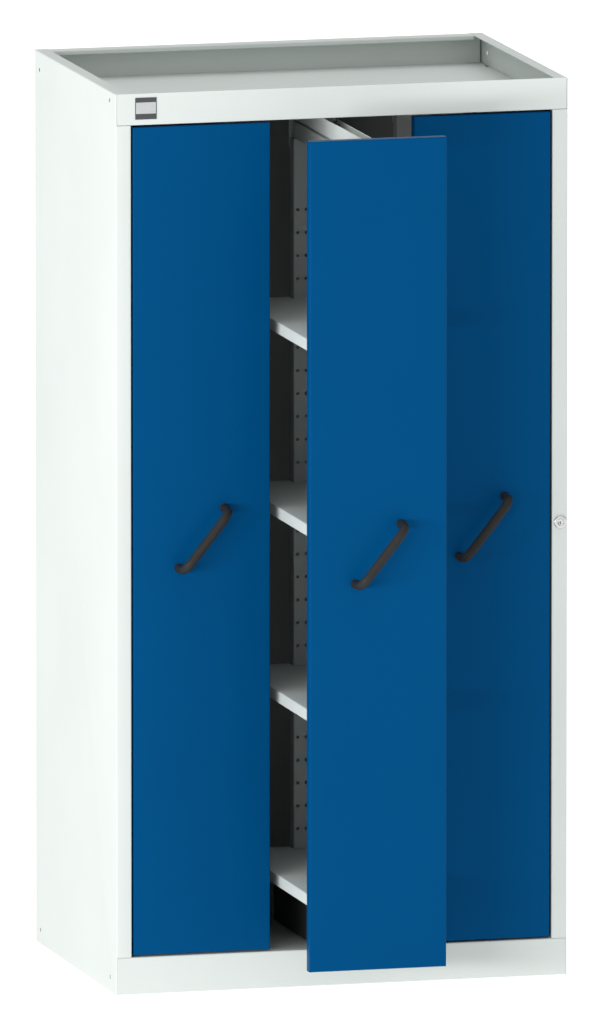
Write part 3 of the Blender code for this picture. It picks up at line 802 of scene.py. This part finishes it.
def channel(origin, unit):
    """Guide channel, which opens upwards."""
    low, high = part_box(f"guide_channel_{unit}")
    half = (high.x - low.x) / 2
    path = ((half, high.z), (half, low.z), (-half, low.z), (-half, high.z))
    return bent(path, "y", low.y - origin.y, high.y - origin.y)


def add_unit(unit, materials):
    """Every new piece of one pull-out, all riding on its body."""
    body = f"pullout_{unit}"
    low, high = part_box(f"front_panel_{unit}")
    origin = Vector(((low.x + high.x) / 2, low.y, 0))

    def add(name, mesh, slot, *nodes, finish=None):
        add_piece(f"{name}_{unit}", smooth(mesh), materials[finish or slot], body, nodes, origin)

    add("front_sheet", front_pan(unit), "front_paint", f"front_panel_{unit}")
    add("handle_bar", handle_bar(unit), "handle_plastic", f"handle_{unit}")
    add("front_post_sheet", post(origin, f"front_post_{unit}"), "frame_paint", f"front_post_{unit}")
    # the rear posts and their head plates take painted shade, a darker frame paint for their place deep in
    # the cabinet
    add("rear_post_sheet", rear_post(origin, unit), "frame_paint", f"rear_post_{unit}", finish="post_paint")
    add("post_head", post_head(origin, unit), "frame_paint", finish="post_paint")
    add("beam_sheet", beam(origin, unit), "frame_paint", f"upper_beam_{unit}")
    add("channel_sheet", channel(origin, unit), "frame_paint", f"guide_channel_{unit}")
    add("carriage_sheet", carriage(origin, unit), "carriage_paint", f"lower_carriage_{unit}")
    for number in range(1, SHELVES + 1):
        add(f"shelf_sheet_{number}", shelf(origin, unit, number), "frame_paint", f"shelf_{number}_{unit}")


def add_lock(frame, materials):
    """Rosette with a rounded rim, and the plug with its keyhole."""
    low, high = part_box("lock_housing")
    centre = Vector(((low.x + high.x) / 2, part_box("left_side_panel")[0].y, (low.z + high.z) / 2))
    rim, out, back = (high.x - low.x) / 2, centre.y - low.y, high.y - centre.y
    profile = [(LOCK_BORE_R, LOCK_BORE_BEVEL - out), (LOCK_BORE_R + LOCK_BORE_BEVEL, -out)]
    steps = 6
    for step in range(steps + 1):
        angle = math.pi / 2 * step / steps
        profile.append((rim - LOCK_RIM_ROUND + LOCK_RIM_ROUND * math.sin(angle),
                        LOCK_RIM_ROUND - out - LOCK_RIM_ROUND * math.cos(angle)))
    profile += [(rim, -GAP), (LOCK_BARREL_R, -GAP), (LOCK_BARREL_R, back), (LOCK_BORE_R, back)]
    add_piece("lock_rosette", turned(profile, [(0, 0, 0)], "y", 64), materials["lock_steel"], "cabinet",
              ("lock_housing",), centre)
    plug = frame["nodes"]["lock_plug"].data.copy()
    front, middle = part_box("lock_plug")[0].y, centre.z - KEYHOLE_DROP
    keyhole = block((centre.x - KEYHOLE_HALF_WIDE, front - KEYHOLE_DEEP, middle - KEYHOLE_HALF_TALL),
                    (centre.x + KEYHOLE_HALF_WIDE, front + KEYHOLE_DEEP, middle + KEYHOLE_HALF_TALL))
    add_piece("lock_key_plug", smooth(cut(plug, keyhole)), materials["lock_steel"], "plug",
              ("lock_plug",))


def add_label(materials):
    """Plain type plate: a light field between two dark bands, with nothing written on it."""
    low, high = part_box("label_plate")
    tall = high.z - low.z

    def plate(name, x, z, front, back, material, nodes=()):
        """A thin plate with round corners between two places along each axis."""
        reach_x, reach_z = (x[1] - x[0]) / 2 - LABEL_CORNER, (z[1] - z[0]) / 2 - LABEL_CORNER
        centre_x, centre_z = (x[0] + x[1]) / 2, (z[0] + z[1]) / 2
        steps = 3
        outline = []
        for turn, (side_x, side_z) in enumerate(((1, 1), (-1, 1), (-1, -1), (1, -1))):
            for step in range(steps + 1):
                angle = math.pi / 2 * (turn + step / steps)
                outline.append((centre_x + side_x * reach_x + LABEL_CORNER * math.cos(angle),
                                centre_z + side_z * reach_z + LABEL_CORNER * math.sin(angle)))
        bm = bmesh.new()
        near = [bm.verts.new((px, front, pz)) for px, pz in outline]
        far = [bm.verts.new((px, back, pz)) for px, pz in outline]
        bm.faces.new(near)
        bm.faces.new(far)
        bridge(bm, near, far)
        add_piece(name, finish_mesh(bm, name), materials[material], "cabinet", nodes)

    plate("label_base", (low.x, high.x), (low.z, high.z), low.y + LABEL_STEP, high.y, "label",
          ("label_plate",))
    plate("label_light_field", (low.x + LABEL_MARGIN, high.x - LABEL_MARGIN),
          (low.z + tall * LABEL_LOW_BAND, high.z - tall * LABEL_HIGH_BAND),
          low.y, low.y + LABEL_STEP, "label_field")


def dress_frame(frame, materials):
    """Finish every mesh of the frame that still shows, and paint shade on the back's inner face."""
    kinds = (
        ("floor_panel", "carcass_paint"), ("back_panel", "carcass_paint"),
        ("middle_runner", "zinc_steel"), ("floor_runner", "zinc_steel"),
        ("guide_bracket", "carriage_paint"), ("guide_roller", "roller_plastic"),
        ("lock_rod", "zinc_steel"), ("lock_bar", "zinc_steel"),
    )
    for name, node in frame["nodes"].items():
        if node.hide_render:
            continue
        finish = next(finish for start, finish in kinds if name.startswith(start))
        dress_node(node, materials[finish])
    whole = (None, None, None)
    # painted shade on the inner face of the back
    paint_shade_on_faces(frame["nodes"]["back_panel"].data, materials["inner_paint"], whole, whole, (0, -1, 0))


# ---------------------------------------------------------------- scene
def add_camera(cabinet):
    """Long lens from the front, a little to the left and above: nearly a parallel view."""
    level = math.cos(CAMERA_ELEVATION)
    back = Vector((math.sin(CAMERA_AZIMUTH) * level, -math.cos(CAMERA_AZIMUTH) * level,
                   math.sin(CAMERA_ELEVATION)))
    data = bpy.data.cameras.new("camera")
    data.lens = LENS_MM
    data.sensor_width = SENSOR_MM
    data.clip_start, data.clip_end = 1.0, 500.0
    camera = bpy.data.objects.new("camera", data)
    bpy.context.scene.collection.objects.link(camera)
    camera.location = cabinet.spot(*CAMERA_AIM) + back * CAMERA_DISTANCE
    camera.rotation_mode = "QUATERNION"
    camera.rotation_quaternion = (-back).to_track_quat("-Z", "Y")
    bpy.context.scene.camera = camera


def add_sky():
    """Studio sky: white at the horizon, dim in a band above it, brighter overhead and on the left."""
    world = bpy.data.worlds.new("studio")
    world.use_nodes = True
    nodes, links = world.node_tree.nodes, world.node_tree.links
    place = nodes.new("ShaderNodeTexCoord")
    axes = nodes.new("ShaderNodeSeparateXYZ")
    links.new(place.outputs["Generated"], axes.inputs["Vector"])
    ramp = nodes.new("ShaderNodeValToRGB")
    elements = ramp.color_ramp.elements
    for i, (position, tone) in enumerate(SKY_STOPS):
        stop = elements[i] if i < len(elements) else elements.new(position)
        stop.position = position
        stop.color = (tone, tone, tone, 1.0)
    links.new(axes.outputs["Z"], ramp.inputs["Fac"])
    side = nodes.new("ShaderNodeMath")
    side.operation = "MULTIPLY_ADD"
    side.inputs[1].default_value = -SKY_SLOPE
    side.inputs[2].default_value = 1.0
    links.new(axes.outputs["X"], side.inputs[0])
    background = nodes["Background"]
    links.new(ramp.outputs["Color"], background.inputs["Color"])
    links.new(side.outputs["Value"], background.inputs["Strength"])
    bpy.context.scene.world = world
    bpy.context.scene.view_settings.view_transform = "Standard"


def add_key():
    """One long, low strip light at the front left, a little above the cabinet's middle."""
    data = bpy.data.lights.new("key", "AREA")
    data.shape = "RECTANGLE"
    data.size, data.size_y = KEY_SIZE
    data.energy = KEY_POWER
    key = bpy.data.objects.new("key", data)
    bpy.context.scene.collection.objects.link(key)
    source = Vector((math.sin(KEY_AZIMUTH), -math.cos(KEY_AZIMUTH), 0))
    key.location = source * KEY_DISTANCE + Vector((0, 0, KEY_HEIGHT))
    key.rotation_mode = "QUATERNION"
    key.rotation_quaternion = (-source).to_track_quat("-Z", "Y")
    key.visible_camera = False


def add_floor():
    """A wide pale floor that runs out of sight."""
    bm = bmesh.new()
    bmesh.ops.create_circle(bm, cap_ends=True, segments=64, radius=FLOOR_RADIUS)
    floor = bpy.data.objects.new("studio_floor", finish_mesh(bm, "studio_floor"))
    bpy.context.scene.collection.objects.link(floor)
    floor.location = (0, 0, -FLOOR_DROP)
    finish = Finish("studio_floor", 0.9, specular=0.0)
    finish.colour(finish.noise(2.0), (0.30, 0.30, 0.30), (0.31, 0.31, 0.31))
    finish.shader.inputs["Emission Color"].default_value = (1.0, 1.0, 1.0, 1.0)
    finish.shader.inputs["Emission Strength"].default_value = FLOOR_GLOW
    floor.data.materials.append(finish.material)


def main():
    """Dress and light the frame."""
    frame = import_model()
    cabinet = Cabinet()
    materials = make_materials()
    add_carcass(cabinet, materials)
    add_rivets(cabinet, materials)
    for unit in UNITS:
        add_unit(unit, materials)
    add_lock(frame, materials)
    add_label(materials)
    dress_frame(frame, materials)
    add_camera(cabinet)
    add_sky()
    add_key()
    add_floor()


main()
